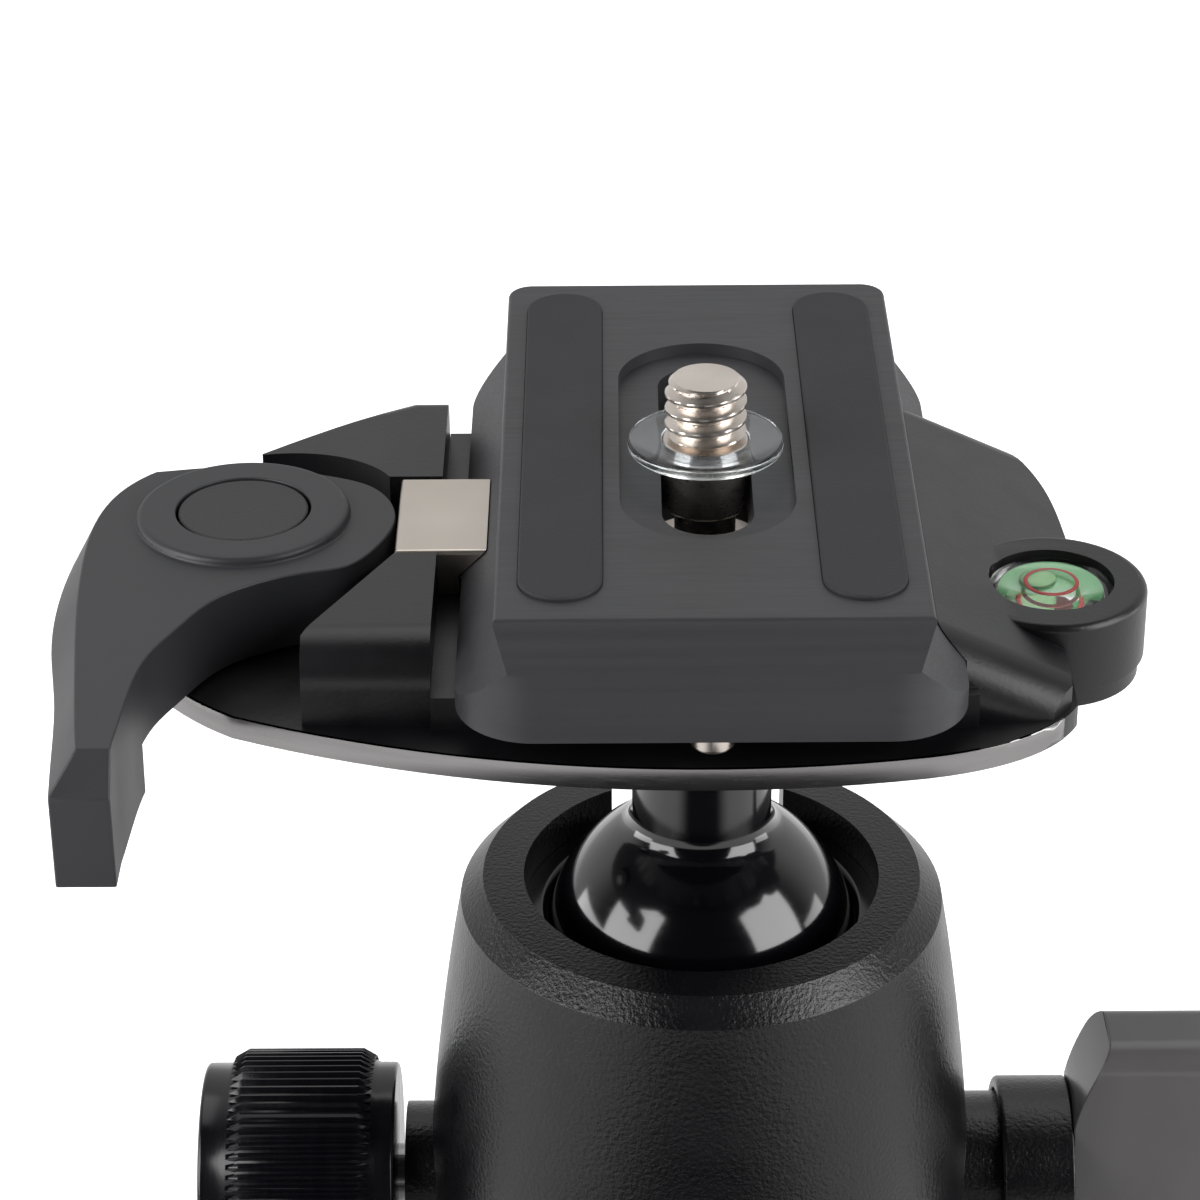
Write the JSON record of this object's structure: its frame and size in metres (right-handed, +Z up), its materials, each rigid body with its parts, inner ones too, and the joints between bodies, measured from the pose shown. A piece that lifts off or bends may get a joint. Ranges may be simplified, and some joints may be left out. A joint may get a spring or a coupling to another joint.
{
  "type": "tripod ball head",
  "caption": "Ball head with a rotating base, notched barrel, wing lock, knurled drag knob, and a lever clamp that holds a dovetail plate with a camera screw.",
  "frame": {"origin": "centre of the tripod socket's mouth, on the underside of the pan base", "axes": "+Z up along the pan axis, +X towards the bubble level and the wing lock, -Y towards the lever's paddle and the pan lock"},
  "size_m": [0.1068, 0.0669, 0.108],
  "materials": {
    "black_powder": "satin powder coat with an orange-peel texture",
    "black_anodised": "glossy black anodised",
    "black_casting": "satin black, fine grained",
    "grey_anodised": "matte dark grey anodised",
    "aluminium": "machined",
    "steel": "turned, plain",
    "nickel": "nickel plated, satin",
    "nylon": "plain",
    "black_plastic": "matte, fine texture",
    "rubber": "matte, fine grained",
    "clear_acrylic": "clear",
    "green_fluid": "clear green"
  },
  "bodies": {
    "base": {"pan_base": "black_anodised", "tripod_bush": "steel", "pan_bolt": "steel", "keeper_plate": "steel"},
    "barrel": {"barrel": "black_powder", "retaining_ring": "nylon", "bearing_washer": "nylon"},
    "friction_pad": {"friction_pad": "nylon"},
    "ball": {"ball_stem": "black_anodised"},
    "platform": {"platform_body": "black_casting", "platform_screw": "steel", "level_vial": "clear_acrylic", "level_fluid": "green_fluid", "lever_pivot": "steel", "block_springs": "steel"},
    "lever": {"clamp_lever": "black_plastic", "lever_cap": "black_plastic"},
    "clamp_block": {"clamp_block": "nickel"},
    "plate": {"release_plate": "grey_anodised", "grip_left": "rubber", "grip_right": "rubber", "stop_pins": "nickel"},
    "washer": {"screw_washer": "clear_acrylic"},
    "camera_screw": {"camera_screw": "nickel"},
    "lock_plunger": {"lock_plunger": "steel"},
    "lock_wing": {"lock_wing": "black_powder", "lock_sleeve": "black_powder", "lock_screw": "steel"},
    "pressure_cup": {"pressure_cup": "aluminium"},
    "drag_plunger": {"drag_plunger": "steel"},
    "drag_knob": {"drag_knob": "black_anodised", "drag_knob_cap": "black_plastic", "drag_screw": "steel"},
    "pan_shoe": {"pan_shoe": "nylon"},
    "pan_knob": {"pan_knob": "black_anodised", "pan_screw": "steel"}
  },
  "joints": [
    {"name": "pan", "type": "hinge", "parent": "base", "child": "barrel", "pos_m": [0, 0, 0.0094], "axis": [0, 0, 1], "continuous": true},
    {"name": "ball_side_tilt", "type": "hinge", "parent": "barrel", "child": "friction_pad", "pos_m": [0, 0, 0.0546], "axis": [0, 1, 0], "range_deg": [-30, 30]},
    {"name": "ball_tilt", "type": "hinge", "parent": "friction_pad", "child": "ball", "pos_m": [0, 0, 0.0546], "axis": [-1, 0, 0], "range_deg": [-30, 90]},
    {"name": "ball_spin", "type": "hinge", "parent": "ball", "child": "platform", "pos_m": [0, 0, 0.0546], "axis": [0, 0, 1], "continuous": true},
    {"name": "lever_swing", "type": "hinge", "parent": "platform", "child": "lever", "pos_m": [-0.0364, 0, 0.09], "axis": [0, 0, -1], "range_deg": [0, 90]},
    {"name": "block_slide", "type": "slide", "parent": "platform", "child": "clamp_block", "axis": [-1, 0, 0], "range_m": [0, 0.0025], "deforming": ["block_springs"]},
    {"name": "plate_slide", "type": "slide", "parent": "platform", "child": "plate", "axis": [0, 1, 0], "range_m": [-0.0025, 0.0025]},
    {"name": "screw_slide", "type": "slide", "parent": "plate", "child": "washer", "axis": [0, 1, 0], "range_m": [-0.008, 0.0138]},
    {"name": "screw_turn", "type": "hinge", "parent": "washer", "child": "camera_screw", "pos_m": [0, -0.0028, 0.1], "axis": [0, 0, 1], "continuous": true},
    {"name": "lock_plunger_slide", "type": "slide", "parent": "barrel", "child": "lock_plunger", "axis": [-1, 0, 0], "range_m": [0, 0.000333]},
    {"name": "lock_turn", "type": "hinge", "parent": "lock_plunger", "child": "lock_wing", "pos_m": [0, 0, 0.03], "axis": [-1, 0, 0], "range_deg": [0, 120]},
    {"name": "cup_lift", "type": "slide", "parent": "barrel", "child": "pressure_cup", "axis": [0, 0, 1], "range_m": [0, 0.00035]},
    {"name": "drag_plunger_slide", "type": "slide", "parent": "barrel", "child": "drag_plunger", "axis": [1, 0, 0], "range_m": [0, 0.00025]},
    {"name": "drag_turn", "type": "hinge", "parent": "drag_plunger", "child": "drag_knob", "pos_m": [0, 0, 0.03], "axis": [1, 0, 0], "range_deg": [0, 180]},
    {"name": "pan_shoe_slide", "type": "slide", "parent": "barrel", "child": "pan_shoe", "axis": [0, 1, 0], "range_m": [0, 0.00025]},
    {"name": "pan_lock_turn", "type": "hinge", "parent": "pan_shoe", "child": "pan_knob", "pos_m": [0, 0, 0.015], "axis": [0, 1, 0], "range_deg": [0, 120]}
  ],
  "couplings": [
    {"joint": "lever_swing", "follows": "block_slide", "rad_per_m": 628.32},
    {"joint": "lock_turn", "follows": "lock_plunger_slide", "rad_per_m": 6289.5},
    {"joint": "cup_lift", "follows": "lock_plunger_slide", "ratio": 1},
    {"joint": "drag_turn", "follows": "drag_plunger_slide", "rad_per_m": 12566},
    {"joint": "pan_lock_turn", "follows": "pan_shoe_slide", "rad_per_m": 8377.6}
  ]
}
